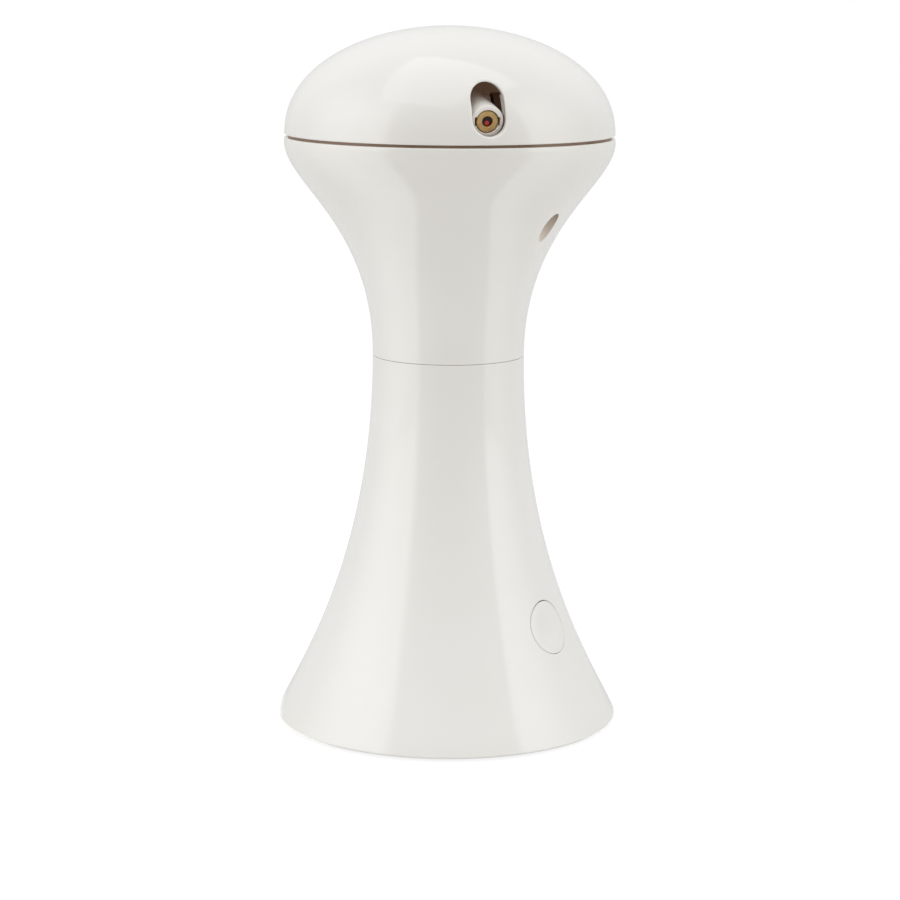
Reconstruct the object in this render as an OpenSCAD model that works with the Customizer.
// Automatic cat laser toy: a waisted base that stands on the floor and a mushroom-shaped head that
// turns on it, with two lasers that look out of opposite slots in the dome.
// All lengths are in millimetres. The floor is z = 0, the button faces -Y, and the head turns about Z.

/* [Base] */
// Outer diameter of the base at its foot
base_d = 116; // [112:1:124]
// Height of the base from its bottom edge to the waist seam
base_h = 123.4; // [116:0.2:132]
// Outer diameter of the waist
waist_d = 50.7; // [50:0.1:54]
// Height over which the foot of the flare keeps its first slope
foot_rise = 12.7; // [10:0.1:16]
// How far the flare leans in over that height
foot_lean = 5.1; // [4:0.1:6]
// Length of the pull that straightens the flare below the waist
waist_run = 72.5; // [66:0.5:78]
// Thickness of the moulded shells
wall = 2.4; // [2:0.1:2.8]
// How far the rubber feet lift the base off the floor
foot_stand = 1; // [0.6:0.1:2]
// Thickness of the deck that closes the top of the base
deck_t = 3.2; // [2.8:0.1:4]

/* [Head] */
// Height of the neck from the waist seam to the head seam
neck_h = 73; // [70:0.2:78]
// Outer diameter of the head at its seam
head_d = 109.2; // [106:0.2:116]
// Length of the pull that keeps the neck slim above the waist
neck_run = 45.2; // [40:0.2:50]
// Length of the pull that turns the flare upright below the head seam
head_run = 14.6; // [12:0.2:18]
// How far that pull lies outside the head's radius
head_bulge = 2.2; // [0:0.1:3]
// Height of the dome above its own rim
dome_h = 35.5; // [33:0.1:40]
// Fullness of the dome's side, 2 for an ellipse
dome_side = 1.97; // [1.9:0.01:2.2]
// Fullness of the dome's crown, 2 for an ellipse
dome_crown = 2.17; // [2:0.01:2.3]
// Open gap at the waist seam, where the head turns on the base
waist_gap = 0.3; // [0.2:0.05:0.6]
// Gap at the head seam, where the edge of the deck shows
head_gap = 0.9; // [0.6:0.05:1.2]
// How far the deck's edge lies behind the head's surface
seam_depth = 1.2; // [0.8:0.1:1.6]
// Turn of the head at rest, from the button to the first laser
head_turn = -42.5; // [-180:0.5:180]

/* [Laser slots] */
// Width of each slot in the dome
slot_w = 10.8; // [10.6:0.1:12]
// Height of each slot, over its round ends
slot_l = 16.6; // [16:0.1:18]
// Height of a slot's lower end above the head seam
slot_rise = 3.1; // [2.6:0.1:4]
// How far the ribs beside each slot reach in from the dome's wall
guide_depth = 2.4; // [1.6:0.2:3.2]

/* [Lasers] */
// Outer diameter of a laser barrel
barrel_d = 10.4; // [10:0.1:10.5]
// Bore of a laser barrel
barrel_bore = 7.4; // [7.1:0.05:7.6]
// Distance from the tilt pivot to a barrel's face
barrel_reach = 22.8; // [22:0.2:23.4]
// Length of a barrel behind its pivot
barrel_tail = 8; // [6:0.5:10]
// Distance of the tilt pivots from the side of the head
pivot_inset = 26.7; // [25.6:0.1:27.6]
// Downward pitch of the lasers at rest
laser_pitch = 10; // [8:0.5:11]
// How far a barrel's face lies below the centre of the slot's lower end at rest
barrel_drop = 1; // [0.6:0.1:1.2]
// Outer diameter of a brass laser module
module_d = 6.85; // [6.5:0.05:7]
// Length of a laser module
module_l = 22; // [18:0.5:24]
// Diameter of the module's front opening
aperture_d = 3.4; // [2.5:0.1:4]
// Height of the two keyways in a barrel's bore
keyway_h = 2.9; // [2:0.1:3.5]
// Depth of the two keyways
keyway_depth = 0.4; // [0.3:0.05:0.6]
// Diameter of the pivot screws' shoulders
pivot_d = 3; // [2.5:0.1:3.5]
// Thickness of the ears that hold the pivots
ear_t = 2.6; // [2:0.1:3.5]
// Thickness of the friction washers beside a barrel
washer_t = 0.9; // [0.6:0.1:1.1]

/* [Button] */
// Diameter of the button
button_d = 18; // [16:0.5:20]
// Height of the button's centre above the base's bottom edge
button_rise = 35.4; // [34:0.2:38]
// Clearance round the button
button_gap = 0.3; // [0.2:0.05:0.5]
// Depth of the dish in the button's face
dish_depth = 0.9; // [0.4:0.1:1.2]
// Diameter of that dish
dish_d = 13; // [10:0.5:14]
// Travel of the button
button_travel = 0.8; // [0.4:0.1:1.2]
// Depth of the collar that guides the button
collar_depth = 7; // [6:0.5:8]
// Distance from the button's face to the circuit board
board_depth = 16; // [15.5:0.25:17]

/* [Batteries] */
// Diameter of a cell
cell_d = 14.5; // [13.5:0.1:14.6]
// Length of a cell over its nub
cell_l = 50.5; // [49:0.1:51]
// Distance between neighbouring cells
cell_pitch = 15.6; // [15.4:0.1:15.8]
// Length of a battery spring in place
spring_l = 4.6; // [3.5:0.1:5]
// Thickness of the battery door
door_t = 2; // [1.6:0.1:2.2]
// How far the door reaches past the cells' bay at each end
door_lap = 5; // [4.6:0.1:5.4]
// Clearance round the battery door
door_gap = 0.3; // [0.2:0.05:0.5]

/* [Base plate] */
// Thickness of the base plate
plate_t = 2.4; // [2:0.1:3]
// Clearance between the base plate and the shell
plate_gap = 0.3; // [0.2:0.05:0.6]
// Diameter of the rubber feet
foot_d = 11; // [8:0.5:13]
// Distance of the rubber feet's centres from the base's edge
foot_inset = 13; // [12:0.5:14]
// Distance of the base screws from the centre
plate_screw_r = 44; // [43:0.5:44.5]
// Turn of the base screws from the X axis
plate_screw_turn = 65; // [63:0.5:68]

/* [Drive] */
// Tooth module of the drive gears
gear_module = 0.6; // [0.57:0.01:0.61]
// Teeth of the internal gear in the neck
ring_teeth = 60; // [58:1:61]
// Teeth of the motor pinion
pinion_teeth = 14; // [12:1:15]
// Face width of the pinion
pinion_w = 5; // [4:0.2:5.4]
// Share of a tooth's thickness that is left as backlash
backlash = 0.14; // [0.1:0.01:0.2]
// Diameter of the motor's output shaft
shaft_d = 3; // [2.5:0.1:3.5]
// Diameter of the hollow spindle
spindle_d = 8; // [7.4:0.1:8.6]
// Diameter of the wire passage through the spindle
spindle_bore = 4.4; // [3:0.1:4.8]
// Running clearance between the spindle and its bush, on the radius
run_gap = 0.05; // [0.02:0.01:0.1]
// Wall of the bearing bush
bush_wall = 1.4; // [1:0.1:1.8]
// Length of the bearing bush
bush_l = 19.6; // [16:0.2:20]

/* [Fasteners] */
// Diameter of the screws that close the base and the head
screw_d = 3; // [2.6:0.1:3.2]
// Diameter of the small screws inside
small_screw_d = 2.1; // [1.8:0.1:2.3]
// Bore of the recesses for the head screws
recess_d = 6.2; // [6:0.1:7]
// Distance of the head screws from the axis
head_screw_r = 38.7; // [38:0.1:39.5]
// Turn of the head screws from the laser line
head_screw_turn = 43; // [38:0.5:50]
// Height of the head screws' seat below the head seam
head_screw_drop = 19.4; // [18:0.1:20]

/* [Hidden] */

$fn = 64;
curve_steps = 24;
// Reach of a cut past the face it opens
cut = 1;
// Clearance of a screw in the hole that it passes or bites into
screw_gap = 0.05;
// Clearance between a screw's tip and the end of its hole
tip_gap = 0.3;
// Clearance of a shaft or lens in the bore that grips it
press_gap = 0.01;
// Proportions of a pan-head screw, as shares of its diameter
head_share = 1.85;
head_h_share = 0.6;

// Colours
shell_white = "#F1F0EC";
button_white = "#ECEBE6";
plate_grey = "#D9D8D3";
deck_brown = "#3A2C24";
gear_cream = "#E9E3D2";
brass = "#B59A5F";
steel = "#B8BCC0";
board_green = "#2E6B45";
chip_black = "#26272A";
rubber_black = "#2B2B2D";
cell_blue = "#4A6FA5";
lens_red = "#C62A1E";

// Heights of the main seams
z_base = foot_stand;
z_waist = z_base + base_h;
z_seam = z_waist + neck_h;
z_rim = z_seam + head_gap / 2;
z_flare_top = z_seam - head_gap / 2;

// Point on a cubic curve, and the direction of the curve there
function curve_at(p, t) = pow(1 - t, 3) * p[0] + 3 * pow(1 - t, 2) * t * p[1]
  + 3 * (1 - t) * t * t * p[2] + pow(t, 3) * p[3];
function heading_at(p, t) = pow(1 - t, 2) * (p[1] - p[0]) + 2 * (1 - t) * t * (p[2] - p[1])
  + t * t * (p[3] - p[2]);

// Line of a shell at a depth below its outer curve, taken level so that both ends stay flat
function shell_line(p, depth) = [
  for (i = [0:curve_steps])
    let (q = curve_at(p, i / curve_steps), d = heading_at(p, i / curve_steps))
      [q[0] - depth * norm(d) / d[1], q[1]]];
function reversed(list) = [for (i = [len(list) - 1:-1:0]) list[i]];
function radius_at(line, z) = lookup(z, [for (q = line) [q[1], q[0]]]);

// Line of the dome at a depth below its surface
function dome_line(depth) = [
  for (i = [0:curve_steps])
    let (a = 90 * i / curve_steps)
      [(head_d / 2 - depth) * pow(cos(a), 2 / dome_side),
       z_rim + (dome_h - depth) * pow(sin(a), 2 / dome_crown)]];

base_curve = [
  [base_d / 2, z_base],
  [base_d / 2 - foot_lean, z_base + foot_rise],
  [waist_d / 2, z_waist - waist_run],
  [waist_d / 2, z_waist]];
neck_curve = [
  [waist_d / 2, z_waist + waist_gap],
  [waist_d / 2, z_waist + neck_run],
  [head_d / 2 + head_bulge, z_seam - head_run],
  [head_d / 2, z_flare_top]];

// Base plate, cells and door
plate_r = radius_at(shell_line(base_curve, wall), z_base + plate_t) - plate_gap;
cell_gap = 0.3;
bay_wall = 1.5;
contact_t = 0.4;
cells = 4;
bay_w = cells * cell_pitch;
bay_l = 2 * contact_t + spring_l + cell_l + cell_gap;
door_w = bay_w + 2;
door_l = bay_l + 2 * door_lap;
frame_t = door_t + 3;
recess_t = door_t + door_gap;
cell_z = z_base + door_t + cell_gap + cell_d / 2;
bay_top = cell_z + cell_d / 2 + cell_gap;
hinge_r = 1.5;
hinge_z = z_base + hinge_r;
hinge_y = door_l / 2 - hinge_r;
hinge_pin_r = 0.8;
hinge_pin_l = 1.4;
hinge_run = 0.08;
sleeve_r = 4;
column_r = 3.5;
column_bite = 9;
foot_r = base_d / 2 - foot_inset;
foot_sink = 1.2;
foot_gap = 0.1;
screw_well = 1.6;
well_gap = 0.4;
frame_lap = 2.5;
scoop_r = 5.5;
scoop_h = 1.2;

// Button frame
button_z = z_base + button_rise;
base_outline = shell_line(base_curve, 0);
button_r = radius_at(base_outline, button_z);
button_span = 5;
button_lean = atan((radius_at(base_outline, button_z - button_span)
  - radius_at(base_outline, button_z + button_span)) / (2 * button_span));
collar_wall = 1.5;
button_cap = 1.8;
flange_t = 1.2;
flange_gap = 0.2;
flange_lap = 1.4;
flange_top = -collar_depth - flange_gap;
board_t = 1.6;
board_w = 42;
board_low = -8;
board_high = 18;
switch_w = 6;
switch_h = 3.5;
stem_r = 1.6;
stem_out = 1.5;
stem_in = 0.8;
stem_run = 0.06;
board_screw_x = 17;
board_screw_y = 5;
board_boss_r = 3;
board_bite = 6;
plunger_r = 2.2;
button_wall = 1.5;
chip = [10, 6, 1.6];
chip_at = [-6, 9];
capacitor_r = 2.5;
capacitor_h = 7;
capacitor_at = [8, 11];
socket = [8, 4.5, 4];
socket_y = -3;
socket_step = 12;

// Drive, stacked upward from the deck that closes the base
deck_z = z_waist - deck_t;
ring_pitch_r = gear_module * ring_teeth / 2;
pinion_pitch_r = gear_module * pinion_teeth / 2;
motor_x = ring_pitch_r - pinion_pitch_r;
tooth_tip = 0.8 * gear_module;
tooth_root = gear_module;
pressure_angle = 20;
rim_r = waist_d / 2 - wall - 0.15;
rim_z = z_waist + 0.6;
pinion_z = z_waist + 0.8;
web_z = pinion_z + pinion_w + 0.8;
web_t = 2.4;
web_inset = 0.5;
web_skin = 0.4;
shelf_z = web_z + web_t;
shelf_t = 2.2;
shelf_bore = 12;
spindle_r = spindle_d / 2;
shoulder_r = spindle_r + 2;
shoulder_gap = 0.15;
shoulder_z = z_waist + 1.8;
thrust_t = 0.6;
thrust_r = spindle_r + 3.2;
bush_r = spindle_r + run_gap + bush_wall;
bush_z = shoulder_z + thrust_t;
bush_top = bush_z + bush_l;
hub_r = bush_r + 2;
hub_inset = 0.2;
thrust_play = 0.05;
clip_t = 0.8;
clip_z = bush_top + thrust_t + 0.1;
clip_r = spindle_r + 2.4;
groove_depth = 0.7;
clip_play = 0.02;
clip_slit = 2.4;
ring_h = 2;
ring_step = 4;
ring_z = clip_z + clip_t + 2;
slip_ring_r = spindle_r + 0.6;
spindle_top = ring_z + ring_step + ring_h + 1.5;
spindle_flange = [14, 32, 2.4];
spindle_flange_x = -1.2;
spindle_screw_y = 12.5;
box_x = 10;
box_y = 12;
box_h = 9;
can_h = 15;
shaft_hole_r = shaft_d / 2 + 0.7;
shaft_sink = 6;
shaft_end_gap = 0.3;
deck_skin = 0.6;
bracket_wall = 1.1;
bracket_h = 7;
bracket_gap = 0.4;
bracket_tab_w = 5.2;
bracket_tab_t = 2;
box_gap = 0.1;
motor_screw_y = 10.4;
hub_screw_r = 17.4;

// Brushes on the slip rings
brush_wall_y = slip_ring_r + 4.4;
brush_post = [8, 3];
brush_foot = [8, 10, 2];
brush_x = 3.6;
brush_l = 5.6;
brush_t = 0.4;
brush_h = 1.6;
brush_gap = 0.05;

// Head
slot_low_z = z_seam + slot_rise + slot_w / 2;
slot_high_z = z_seam + slot_rise + slot_l - slot_w / 2;
guide_t = 1.2;
guide_low_z = slot_low_z + 1.1;
guide_high_z = slot_high_z + 1.3;
screw_seat_z = z_seam - head_screw_drop;
seat_t = 3.5;
neck_post_r = recess_d / 2 + 1.7;
dome_post_r = 4;
dome_post_gap = 0.4;
dome_bite = 12;
plug_r = radius_at(shell_line(neck_curve, wall), z_flare_top - 1) - 0.3;
plug_t = 1.6;
wire_hole_r = 8;
pivot_z = slot_low_z - barrel_drop + barrel_reach * sin(laser_pitch);
pivot_r = head_d / 2 - pivot_inset;
pad_r = 3.4;
pad_x = barrel_d / 2 + 0.7;
pad_sink = 1;
thread_step = 0.5;
thread_inset = 0.2;
pivot_head_lap = 1.1;
pivot_head_h = 1.6;
washer_gap = 0.05;
ear_x = pad_x + washer_t + 2 * washer_gap;
ear_r = 4;
pivot_run = 0.08;
module_inset = 0.3;
module_cap = 1.2;
module_wall = 0.65;
lens_t = 1.6;
keyway_l = 6;
lens_gap = 0.02;
diode_w = 4.8;
diode_l = 8;
diode_t = 1;
diode_sink = 3;
laser_board_w = 26;
laser_board_l = 18;
laser_board_t = 1.2;
standoff_h = 3;
standoff_r = 2.4;
standoff_x = 10;
laser_socket = [7, 5, 3];
laser_socket_y = 5;

// ---- Helpers ----

module lathe(points) rotate_extrude() polygon(points);

// Solid inside a shell at a depth below its outer curve
module core(p, depth) lathe(concat([[0, p[0][1]]], shell_line(p, depth), [[0, p[3][1]]]));

// Hollow shell between its outer curve and the wall thickness
module shell(p) lathe(concat(shell_line(p, 0), reversed(shell_line(p, wall))));

module tube(r_out, r_in, h) difference() {
  cylinder(r = r_out, h = h);
  translate([0, 0, -cut]) cylinder(r = r_in, h = h + 2 * cut);
}

module block(size) translate([-size[0] / 2, -size[1] / 2, 0]) cube(size);

// Pan-head screw that points up, with the underside of its head at z = 0 and a cross recess below
module screw(d, l) {
  head_r = d * head_share / 2;
  head_h = d * head_h_share;
  difference() {
    union() {
      translate([0, 0, -head_h]) cylinder(r = head_r, h = head_h);
      cylinder(r = d / 2, h = l);
    }
    for (a = [0, 90]) rotate([0, 0, a]) translate([0, 0, -head_h - cut]) {
      block([head_r * 1.1, d * 0.2, cut + head_h * 0.6]);
    }
  }
}

// Local frame of the button: +Z is the outward normal at the middle of its face
module at_button() translate([0, -button_r, button_z]) rotate([90 - button_lean, 0, 0]) children();

module at_base_screws() for (sx = [-1, 1], sy = [-1, 1]) {
  translate([sx * plate_screw_r * cos(plate_screw_turn), sy * plate_screw_r * sin(plate_screw_turn), 0])
    children();
}

module at_feet() for (i = [0:3]) rotate([0, 0, 90 * i]) translate([foot_r, 0, 0]) children();

module at_board_screws() for (sx = [-1, 1]) translate([sx * board_screw_x, board_screw_y, 0]) children();

// The head and all it carries are drawn with the first laser at -Y and then turned to rest
module in_head() rotate([0, 0, head_turn]) children();

module at_head_screws() for (i = [0, 1]) {
  rotate([0, 0, head_screw_turn + 180 * i]) translate([0, -head_screw_r, 0]) children();
}

module at_hub_screws() for (i = [0:2]) rotate([0, 0, 30 + 120 * i]) translate([hub_screw_r, 0, 0]) children();

// Frame of laser 0 or 1: the origin is its pivot, X is the pivot's axis and the beam leaves along -Y
module at_laser(i) in_head() rotate([0, 0, 180 * i]) translate([0, -pivot_r, pivot_z])
  rotate([laser_pitch, 0, 0]) children();

// Cylinder along the beam from y = back to y = front
module beam_cylinder(r, back, front) translate([0, back, 0]) rotate([90, 0, 0])
  cylinder(r = r, h = back - front);

// Cylinders along the pivot's axis on both sides, from x = near to x = far
module pivot_cylinders(r, near, far) for (s = [0, 180]) {
  rotate([0, 0, s]) translate([near, 0, 0]) rotate([0, 90, 0]) cylinder(r = r, h = far - near);
}

// Straight-flanked gear tooth that points along +X from r_root to r_tip
module tooth(r_pitch, r_root, r_tip) {
  half = PI * gear_module / 4 * (1 - backlash);
  function half_at(r) = half - sign(r_tip - r_root) * (r - r_pitch) * tan(pressure_angle);
  polygon([[r_root, -half_at(r_root)], [r_tip, -half_at(r_tip)],
           [r_tip, half_at(r_tip)], [r_root, half_at(r_root)]]);
}

// ---- Base ----

module base_shell() color(shell_white) difference() {
  union() {
    shell(base_curve);
    translate([0, 0, deck_z]) cylinder(r = waist_d / 2 - wall / 2, h = deck_t);
    intersection() {
      core(base_curve, wall / 2);
      union() {
        at_base_screws() translate([0, 0, z_base + frame_t]) cylinder(r = column_r, h = base_h / 2);
        at_button() translate([0, 0, -collar_depth])
          cylinder(r = button_d / 2 + button_gap + collar_wall, h = collar_depth);
        at_button() at_board_screws() translate([0, 0, -board_depth])
          cylinder(r = board_boss_r, h = board_depth);
      }
    }
  }
  at_button() translate([0, 0, -collar_depth - cut])
    cylinder(r = button_d / 2 + button_gap, h = collar_depth + 2 * cut + wall);
  at_button() at_board_screws() translate([0, 0, -board_depth - cut])
    cylinder(r = small_screw_d / 2 + screw_gap, h = board_bite + cut);
  at_base_screws() translate([0, 0, z_base + frame_t - cut])
    cylinder(r = screw_d / 2 + screw_gap, h = column_bite + cut);
  translate([0, 0, deck_z - cut]) {
    cylinder(r = shoulder_r + shoulder_gap, h = deck_t + 2 * cut);
    translate([motor_x, 0, 0]) cylinder(r = shaft_hole_r, h = deck_t + 2 * cut);
    for (s = [-1, 1]) {
      translate([motor_x, s * motor_screw_y, 0])
        cylinder(r = small_screw_d / 2 + screw_gap, h = deck_t - deck_skin + cut);
      translate([spindle_flange_x, s * spindle_screw_y, 0])
        cylinder(r = small_screw_d / 2 + screw_gap, h = deck_t - deck_skin + cut);
    }
  }
}

module base_plate() color(plate_grey) difference() {
  union() {
    translate([0, 0, z_base]) {
      cylinder(r = plate_r, h = plate_t);
      block([door_w + 2 * frame_lap, door_l + 2 * frame_lap, frame_t]);
      block([bay_w + 2 * bay_wall, bay_l + 2 * bay_wall, bay_top + bay_wall - z_base]);
    }
    at_base_screws() translate([0, 0, z_base]) cylinder(r = sleeve_r, h = frame_t);
  }
  // Bay for the cells, with ribs between them that hang from its roof
  difference() {
    translate([0, 0, z_base - cut]) block([bay_w, bay_l, bay_top - z_base + cut]);
    for (i = [1:cells - 1]) translate([cell_pitch * (i - cells / 2), 0, cell_z + cell_d / 4])
      block([cell_pitch - cell_d - 2 * cell_gap, cell_l * 0.7, cell_d]);
  }
  // Recess for the door, a deeper groove for its hinge, and the sockets of the hinge pins
  translate([0, 0, z_base - cut]) block([door_w + 2 * door_gap, door_l + 2 * door_gap, recess_t + cut]);
  translate([0, hinge_y, z_base - cut])
    block([door_w + 2 * door_gap, 2 * (hinge_r + door_gap), 2 * hinge_r + door_gap + cut]);
  translate([-door_w / 2 - door_gap - hinge_pin_l, hinge_y, hinge_z]) rotate([0, 90, 0])
    cylinder(r = hinge_pin_r + hinge_run, h = door_w + 2 * (door_gap + hinge_pin_l));
  // Finger scoop in front of the door
  translate([0, -door_l / 2 - door_gap, z_base - cut]) cylinder(r = scoop_r, h = scoop_h + cut);
  at_base_screws() translate([0, 0, z_base - cut]) {
    cylinder(r = screw_d / 2 + screw_gap, h = frame_t + 2 * cut);
    cylinder(r = screw_d * head_share / 2 + well_gap, h = frame_t - screw_well + cut);
  }
  at_feet() translate([0, 0, z_base - cut]) cylinder(r = foot_d / 2 + foot_gap, h = foot_sink + cut);
}

module rubber_feet() color(rubber_black) at_feet() cylinder(r = foot_d / 2, h = foot_stand + foot_sink);

module base_screws() color(steel) at_base_screws() translate([0, 0, z_base + frame_t - screw_well])
  screw(screw_d, screw_well + column_bite - tip_gap);

// Cell i of the row, alternating its nub end
module cell(i) color(cell_blue) {
  nub_l = 1;
  nub_r = 2.75;
  flip = i % 2 == 0 ? 0 : 180;
  translate([cell_pitch * (i + 0.5 - cells / 2), 0, cell_z]) rotate([0, 0, flip])
    translate([0, -bay_l / 2 + contact_t + cell_l + cell_gap / 2, 0]) rotate([90, 0, 0]) {
      cylinder(r = cell_d / 2, h = cell_l - nub_l);
      translate([0, 0, cell_l - nub_l]) cylinder(r = nub_r, h = nub_l);
    }
}
module battery_1() cell(0);
module battery_2() cell(1);
module battery_3() cell(2);
module battery_4() cell(3);

// One nickel plate behind each end of each cell
module battery_contacts() color(steel) for (i = [0:cells - 1], s = [-1, 1]) {
  translate([cell_pitch * (i + 0.5 - cells / 2), s * (bay_l - contact_t) / 2, cell_z])
    translate([0, 0, -cell_d * 0.35]) block([cell_d * 0.75, contact_t, cell_d * 0.7]);
}

// The springs bear on the flat end of each cell, as plain cones
module battery_springs() color(steel) for (i = [0:cells - 1]) {
  flip = i % 2 == 0 ? 0 : 180;
  spring_r = cell_d * 0.36;
  tip_r = cell_d * 0.2;
  wire = 0.7;
  translate([cell_pitch * (i + 0.5 - cells / 2), 0, cell_z]) rotate([0, 0, flip])
    translate([0, bay_l / 2 - contact_t, 0]) rotate([90, 0, 0])
      lathe([[spring_r - wire, 0], [spring_r, 0], [tip_r, spring_l], [tip_r - wire, spring_l]]);
}

// The door hangs on two stub pins along its back edge
module battery_door() color(plate_grey) {
  slit = 0.8;
  slit_l = 9;
  tongue_w = 14;
  grip = [10, 0.8, 0.5];
  grip_step = 2;
  difference() {
    union() {
      translate([0, -hinge_r / 2, z_base]) block([door_w, door_l - hinge_r, door_t]);
      translate([-door_w / 2, hinge_y, hinge_z]) rotate([0, 90, 0]) cylinder(r = hinge_r, h = door_w);
      translate([-door_w / 2 - hinge_pin_l, hinge_y, hinge_z]) rotate([0, 90, 0])
        cylinder(r = hinge_pin_r, h = door_w + 2 * hinge_pin_l);
    }
    // Two slits free the spring tongue of the catch
    for (s = [-1, 1]) translate([s * tongue_w / 2, -door_l / 2 + slit_l / 2 - cut, z_base - cut])
      block([slit, slit_l + cut, door_t + 2 * cut]);
    // Grip grooves
    for (i = [1:3]) translate([0, -door_l / 2 + grip_step * i + grip[1], z_base - cut])
      block([grip[0], grip[1], grip[2] + cut]);
  }
}

// ---- Button and board ----

module control_button() color(button_white) {
  dish_r = (pow(dish_d / 2, 2) + pow(dish_depth, 2)) / (2 * dish_depth);
  difference() {
    intersection() {
      core(base_curve, 0);
      at_button() translate([0, 0, flange_top - flange_t]) cylinder(r = button_d / 2, h = collar_depth * 2);
    }
    at_button() translate([0, 0, dish_r - dish_depth]) sphere(r = dish_r, $fn = 180);
    at_button() translate([0, 0, flange_top - flange_t - cut])
      cylinder(r = button_d / 2 - button_wall, h = flange_t - flange_top + cut - dish_depth - button_cap);
  }
  at_button() {
    translate([0, 0, flange_top - flange_t])
      tube(button_d / 2 + flange_lap, button_d / 2 - button_wall, flange_t);
    plunger_low = -board_depth + switch_h + stem_out;
    translate([0, 0, plunger_low]) cylinder(r = plunger_r, h = -dish_depth - button_cap / 2 - plunger_low);
  }
}

module switch_stem() color(rubber_black) at_button()
  translate([0, 0, -board_depth + switch_h - stem_in]) cylinder(r = stem_r, h = stem_out + stem_in);

module tact_switch() color(steel) at_button() translate([0, 0, -board_depth]) difference() {
  well = stem_in + button_travel + 0.2;
  block([switch_w, switch_w, switch_h]);
  translate([0, 0, switch_h - well]) cylinder(r = stem_r + stem_run, h = well + cut);
}

module main_board() color(board_green) at_button() difference() {
  translate([-board_w / 2, board_low, -board_depth - board_t])
    cube([board_w, board_high - board_low, board_t]);
  at_board_screws() translate([0, 0, -board_depth - board_t - cut])
    cylinder(r = small_screw_d / 2 + screw_gap, h = board_t + 2 * cut);
}

// Controller, capacitor, and the sockets for the battery, motor and slip-ring leads
module board_parts() color(chip_black) at_button() translate([0, 0, -board_depth - board_t]) {
  translate([chip_at[0], chip_at[1], -chip[2]]) block(chip);
  translate([capacitor_at[0], capacitor_at[1], -capacitor_h]) cylinder(r = capacitor_r, h = capacitor_h);
  for (i = [-1:1]) translate([socket_step * i, socket_y, -socket[2]]) block(socket);
}

module board_screws() color(steel) at_button() at_board_screws()
  translate([0, 0, -board_depth - board_t]) screw(small_screw_d, board_t + board_bite - tip_gap);

// ---- Drive ----

module gear_motor() color(steel) translate([motor_x, 0, deck_z]) difference() {
  union() {
    translate([0, 0, -box_h]) block([box_x, box_y, box_h]);
    translate([0, 0, -box_h - can_h]) intersection() {
      cylinder(r = box_y / 2, h = can_h);
      block([box_x, box_y, can_h]);
    }
  }
  translate([0, 0, -shaft_sink - shaft_end_gap])
    cylinder(r = shaft_d / 2 + run_gap, h = shaft_sink + shaft_end_gap + cut);
}

// Frame round the gear motor with two round-ended tabs; its corners stay clear of the waist's wall
module motor_bracket() color(plate_grey) difference() {
  intersection() {
    translate([motor_x, 0, deck_z]) {
      translate([0, 0, -bracket_h])
        block([box_x + 2 * (bracket_wall + box_gap), box_y + 2 * (bracket_wall + box_gap), bracket_h]);
      translate([0, 0, -bracket_tab_t]) block([bracket_tab_w, 2 * motor_screw_y, bracket_tab_t]);
      for (s = [-1, 1]) translate([0, s * motor_screw_y, -bracket_tab_t])
        cylinder(r = bracket_tab_w / 2, h = bracket_tab_t);
    }
    translate([0, 0, deck_z - bracket_h]) cylinder(r = waist_d / 2 - wall - bracket_gap, h = bracket_h);
  }
  translate([motor_x, 0, deck_z - bracket_h - cut])
    block([box_x + 2 * box_gap, box_y + 2 * box_gap, bracket_h + 2 * cut]);
  for (s = [-1, 1]) translate([motor_x, s * motor_screw_y, deck_z - bracket_tab_t - cut])
    cylinder(r = small_screw_d / 2 + screw_gap, h = bracket_tab_t + 2 * cut);
}

module motor_screws() color(steel) for (s = [-1, 1]) {
  translate([motor_x, s * motor_screw_y, deck_z - bracket_tab_t])
    screw(small_screw_d, bracket_tab_t + deck_t - deck_skin - tip_gap);
}

module output_shaft() color(steel) translate([motor_x, 0, deck_z - shaft_sink])
  cylinder(r = shaft_d / 2, h = pinion_z + pinion_w - deck_z + shaft_sink);

module motor_pinion() color(gear_cream) translate([motor_x, 0, pinion_z]) difference() {
  union() {
    cylinder(r = pinion_pitch_r - tooth_root, h = pinion_w);
    linear_extrude(pinion_w) for (i = [0:pinion_teeth - 1]) rotate([0, 0, 360 / pinion_teeth * i])
      tooth(pinion_pitch_r, pinion_pitch_r - tooth_root * 1.2, pinion_pitch_r + tooth_tip);
  }
  translate([0, 0, -cut]) cylinder(r = shaft_d / 2 + press_gap, h = pinion_w + 2 * cut);
}

module spindle_post() color(steel) difference() {
  union() {
    translate([spindle_flange_x, 0, deck_z - spindle_flange[2]]) block(spindle_flange);
    translate([0, 0, deck_z - spindle_flange[2]]) {
      cylinder(r = shoulder_r, h = shoulder_z - deck_z + spindle_flange[2]);
      cylinder(r = spindle_r, h = spindle_top - deck_z + spindle_flange[2]);
    }
  }
  translate([0, 0, deck_z - spindle_flange[2] - cut])
    cylinder(r = spindle_bore / 2, h = spindle_top - deck_z + spindle_flange[2] + 2 * cut);
  translate([0, 0, clip_z]) tube(spindle_r + cut, spindle_r - groove_depth, clip_t);
  for (s = [-1, 1]) translate([spindle_flange_x, s * spindle_screw_y, deck_z - spindle_flange[2] - cut])
    cylinder(r = small_screw_d / 2 + screw_gap, h = spindle_flange[2] + 2 * cut);
}

module spindle_screws() color(steel) for (s = [-1, 1]) {
  translate([spindle_flange_x, s * spindle_screw_y, deck_z - spindle_flange[2]])
    screw(small_screw_d, spindle_flange[2] + deck_t - deck_skin - tip_gap);
}

// One washer under the bush and one above it
module thrust_washers() color(brass) for (z = [shoulder_z, bush_top + thrust_play]) {
  translate([0, 0, z]) tube(thrust_r, spindle_r + run_gap, thrust_t - thrust_play);
}

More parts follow.
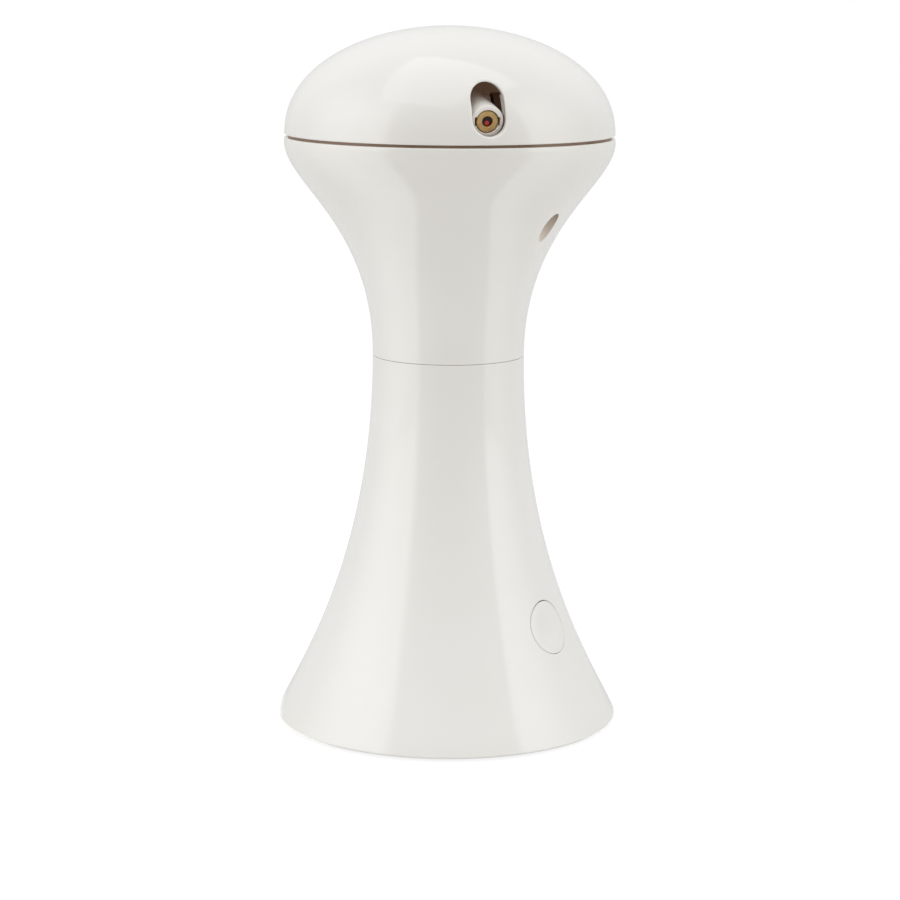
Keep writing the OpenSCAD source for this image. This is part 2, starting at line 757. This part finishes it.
// Open ring that snaps into the spindle's groove
module retaining_clip() color(steel) translate([0, 0, clip_z + clip_play]) difference() {
  tube(clip_r, spindle_r - groove_depth + clip_play, clip_t - 2 * clip_play);
  translate([0, clip_r, -cut]) block([clip_slit, clip_r * 1.2, clip_t + 2 * cut]);
}

module slip_rings() color(brass) for (i = [0, 1]) {
  translate([0, 0, ring_z + ring_step * i]) tube(slip_ring_r, spindle_r + press_gap, ring_h);
}

// Internal gear, web and bearing sleeve in one moulding; its teeth are in mesh at rest
module hub_gear() color(gear_cream) {
  gear_h = web_z + web_t - rim_z;
  difference() {
    union() {
      translate([0, 0, rim_z]) tube(rim_r, ring_pitch_r + tooth_root, gear_h);
      translate([0, 0, web_z]) cylinder(r = rim_r - web_inset, h = web_t);
      translate([0, 0, bush_z + hub_inset]) cylinder(r = hub_r, h = bush_l - 2 * hub_inset);
      translate([0, 0, rim_z]) linear_extrude(web_z - rim_z + web_t / 2)
        for (i = [0:ring_teeth - 1]) rotate([0, 0, 360 / ring_teeth * (i + 0.5)])
          tooth(ring_pitch_r, ring_pitch_r + tooth_root * 1.3, ring_pitch_r - tooth_tip);
    }
    translate([0, 0, rim_z - cut]) cylinder(r = bush_r + press_gap, h = bush_l + gear_h);
    in_head() at_hub_screws() translate([0, 0, web_z + web_skin])
      cylinder(r = small_screw_d / 2 + screw_gap, h = web_t + cut);
  }
}

module hub_bush() color(brass) translate([0, 0, bush_z]) tube(bush_r, spindle_r + run_gap, bush_l);

module hub_screws() color(steel) in_head() at_hub_screws() translate([0, 0, shelf_z + shelf_t])
  mirror([0, 0, 1]) screw(small_screw_d, shelf_t + web_t - web_skin - tip_gap);

module brush_holder() color(chip_black) in_head() translate([0, 0, shelf_z + shelf_t]) {
  translate([0, brush_wall_y + brush_post[1] / 2, 0])
    block([brush_post[0], brush_post[1], spindle_top - shelf_z - shelf_t]);
  translate([0, brush_wall_y + brush_foot[1] / 2, 0]) block(brush_foot);
}

// Two sprung leaves that lie along the slip rings
module brushes() color(brass) in_head() for (i = [0, 1]) {
  leaf_y = slip_ring_r + brush_gap;
  translate([0, 0, ring_z + ring_step * i + (ring_h - brush_h) / 2]) {
    translate([-brush_x, leaf_y, 0]) cube([brush_l, brush_t, brush_h]);
    translate([-brush_x, leaf_y, 0]) cube([brush_t, brush_wall_y - leaf_y, brush_h]);
  }
}

// ---- Head ----

module neck_shell() color(shell_white) in_head() difference() {
  union() {
    shell(neck_curve);
    intersection() {
      core(neck_curve, wall / 2);
      union() {
        translate([0, 0, shelf_z]) tube(waist_d, shelf_bore, shelf_t);
        at_head_screws() translate([0, 0, z_waist])
          cylinder(r = neck_post_r, h = screw_seat_z + seat_t - z_waist);
      }
    }
  }
  at_head_screws() translate([0, 0, z_waist]) {
    cylinder(r = recess_d / 2, h = screw_seat_z - z_waist);
    cylinder(r = screw_d / 2 + screw_gap, h = z_seam - z_waist);
  }
  at_hub_screws() translate([0, 0, shelf_z - cut])
    cylinder(r = small_screw_d / 2 + screw_gap, h = shelf_t + 2 * cut);
}

module head_dome() color(shell_white) in_head() difference() {
  union() {
    lathe(concat(dome_line(0), reversed(dome_line(wall))));
    intersection() {
      lathe(concat([[0, screw_seat_z]], [[head_d / 2 - wall / 2, screw_seat_z]], dome_line(wall / 2)));
      at_head_screws() translate([0, 0, screw_seat_z + seat_t])
        cylinder(r = dome_post_r, h = head_screw_drop + dome_h);
    }
    intersection() {
      lathe(concat(dome_line(wall / 2), reversed(dome_line(wall + guide_depth))));
      slot_guides();
    }
  }
  for (i = [0, 1]) rotate([0, 0, 180 * i]) slot_cut();
  at_head_screws() translate([0, 0, screw_seat_z + seat_t - cut])
    cylinder(r = screw_d / 2 + screw_gap, h = dome_bite + cut);
}

// Upright slot with round ends, cut through the dome's wall towards -Y
module slot_cut() {
  for (z = [slot_low_z, slot_high_z]) translate([0, 0, z]) rotate([90, 0, 0])
    cylinder(r = slot_w / 2, h = head_d / 2);
  translate([-slot_w / 2, -head_d / 2, slot_low_z])
    cube([slot_w, head_d / 2, slot_high_z - slot_low_z]);
}

// Ribs beside both slots, between which the barrels tilt
module slot_guides() for (s = [-1, 1]) translate([s * (slot_w + guide_t) / 2, 0, guide_low_z])
  block([guide_t, head_d, guide_high_z - guide_low_z]);

module head_screws() color(steel) in_head() at_head_screws() translate([0, 0, screw_seat_z])
  screw(screw_d, seat_t + dome_bite - tip_gap);

// Dark deck clamped between the flare and the dome; its edge fills the head seam
module head_deck() color(deck_brown) in_head() difference() {
  union() {
    translate([0, 0, z_flare_top]) cylinder(r = head_d / 2 - seam_depth, h = head_gap);
    translate([0, 0, z_flare_top - plug_t]) cylinder(r = plug_r, h = plug_t);
    for (i = [0, 1]) rotate([0, 0, 180 * i]) translate([0, -pivot_r, 0]) {
      for (s = [-1, 1]) translate([s * (ear_x + ear_t / 2), 0, 0]) {
        translate([0, 0, z_seam]) block([ear_t, 2 * ear_r, pivot_z - z_seam]);
        translate([-ear_t / 2, 0, pivot_z]) rotate([0, 90, 0]) cylinder(r = ear_r, h = ear_t);
      }
    }
    for (s = [-1, 1]) translate([s * standoff_x, 0, z_seam])
      cylinder(r = standoff_r, h = head_gap / 2 + standoff_h);
  }
  translate([0, 0, z_flare_top - plug_t - cut]) cylinder(r = wire_hole_r, h = plug_t + head_gap + 2 * cut);
  at_head_screws() translate([0, 0, z_flare_top - plug_t - cut])
    cylinder(r = dome_post_r + dome_post_gap, h = plug_t + head_gap + 2 * cut);
  for (i = [0, 1]) rotate([0, 0, 180 * i]) translate([0, -pivot_r, pivot_z])
    pivot_cylinders(pivot_d / 2 + pivot_run, ear_x - cut, ear_x + ear_t + cut);
  for (s = [-1, 1]) translate([s * standoff_x, 0, z_seam])
    cylinder(r = small_screw_d / 2 + screw_gap, h = head_gap / 2 + standoff_h + cut);
}

// Driver board of the two lasers, on the deck's standoffs
module laser_board() color(board_green) in_head() translate([0, 0, z_rim + standoff_h]) difference() {
  union() {
    block([laser_board_w, laser_board_l, laser_board_t]);
    for (s = [-1, 1]) translate([0, s * laser_socket_y, laser_board_t]) block(laser_socket);
  }
  for (s = [-1, 1]) translate([s * standoff_x, 0, -cut])
    cylinder(r = small_screw_d / 2 + screw_gap, h = laser_board_t + 2 * cut);
}

module laser_board_screws() color(steel) in_head() for (s = [-1, 1]) {
  translate([s * standoff_x, 0, z_rim + standoff_h + laser_board_t]) mirror([0, 0, 1])
    screw(small_screw_d, laser_board_t + standoff_h - tip_gap);
}

// ---- Lasers ----

// White sleeve with two pads for its pivots and two keyways in its mouth
module laser_barrel(i) color(shell_white) at_laser(i) difference() {
  union() {
    beam_cylinder(barrel_d / 2, barrel_tail, -barrel_reach);
    pivot_cylinders(pad_r, barrel_d / 2 - pad_sink, pad_x);
  }
  beam_cylinder(barrel_bore / 2, barrel_tail + cut, -barrel_reach - cut);
  translate([0, -barrel_reach - cut + (keyway_l + cut) / 2, -keyway_h / 2])
    block([barrel_bore + 2 * keyway_depth, keyway_l + cut, keyway_h]);
  pivot_cylinders(pivot_d / 2 - thread_step + screw_gap, barrel_bore / 2 - cut, pad_x + cut);
}

// Brass tube with a front cap that leaves a small round opening
module laser_module(i) color(brass) at_laser(i) {
  front = -barrel_reach + module_inset;
  difference() {
    beam_cylinder(module_d / 2, front + module_l, front);
    beam_cylinder(module_d / 2 - module_wall, front + module_l + cut, front + module_cap);
    beam_cylinder(aperture_d / 2, front + module_cap + cut, front - cut);
  }
}

// Collimating lens behind the front cap
module laser_lens(i) color(lens_red) at_laser(i) {
  front = -barrel_reach + module_inset + module_cap;
  beam_cylinder(module_d / 2 - module_wall - lens_gap, front + lens_t, front);
}

// Diode's own board, which slides into the back of the module
module laser_diode(i) color(board_green) at_laser(i) {
  back = -barrel_reach + module_inset + module_l;
  translate([0, back - diode_sink + diode_l / 2, -diode_t / 2]) block([diode_w, diode_l, diode_t]);
}

// Shoulder screws: the shoulder turns in the ear and the thinner thread holds the barrel
module laser_pivot_screws(i) color(steel) at_laser(i) {
  head_x = ear_x + ear_t + washer_gap;
  pivot_cylinders(pivot_d / 2, pad_x + washer_gap, head_x);
  pivot_cylinders(pivot_d / 2 - thread_step, barrel_bore / 2 + thread_inset, pad_x + washer_gap);
  pivot_cylinders(pivot_d / 2 + pivot_head_lap, head_x, head_x + pivot_head_h);
}

module laser_washers(i) color(rubber_black) at_laser(i) difference() {
  pivot_cylinders(pad_r, pad_x + washer_gap, pad_x + washer_gap + washer_t);
  pivot_cylinders(pivot_d / 2 + lens_gap, pad_x - cut, ear_x + cut);
}

module laser_1_barrel() laser_barrel(0);
module laser_1_module() laser_module(0);
module laser_1_lens() laser_lens(0);
module laser_1_diode() laser_diode(0);
module laser_1_pivot_screws() laser_pivot_screws(0);
module laser_1_washers() laser_washers(0);
module laser_2_barrel() laser_barrel(1);
module laser_2_module() laser_module(1);
module laser_2_lens() laser_lens(1);
module laser_2_diode() laser_diode(1);
module laser_2_pivot_screws() laser_pivot_screws(1);
module laser_2_washers() laser_washers(1);

base_shell();
base_plate();
rubber_feet();
base_screws();
battery_1();
battery_2();
battery_3();
battery_4();
battery_contacts();
battery_springs();
battery_door();
control_button();
switch_stem();
tact_switch();
main_board();
board_parts();
board_screws();
gear_motor();
motor_bracket();
motor_screws();
output_shaft();
motor_pinion();
spindle_post();
spindle_screws();
thrust_washers();
retaining_clip();
slip_rings();
hub_gear();
hub_bush();
hub_screws();
brush_holder();
brushes();
neck_shell();
head_dome();
head_screws();
head_deck();
laser_board();
laser_board_screws();
laser_1_barrel();
laser_1_module();
laser_1_lens();
laser_1_diode();
laser_1_pivot_screws();
laser_1_washers();
laser_2_barrel();
laser_2_module();
laser_2_lens();
laser_2_diode();
laser_2_pivot_screws();
laser_2_washers();
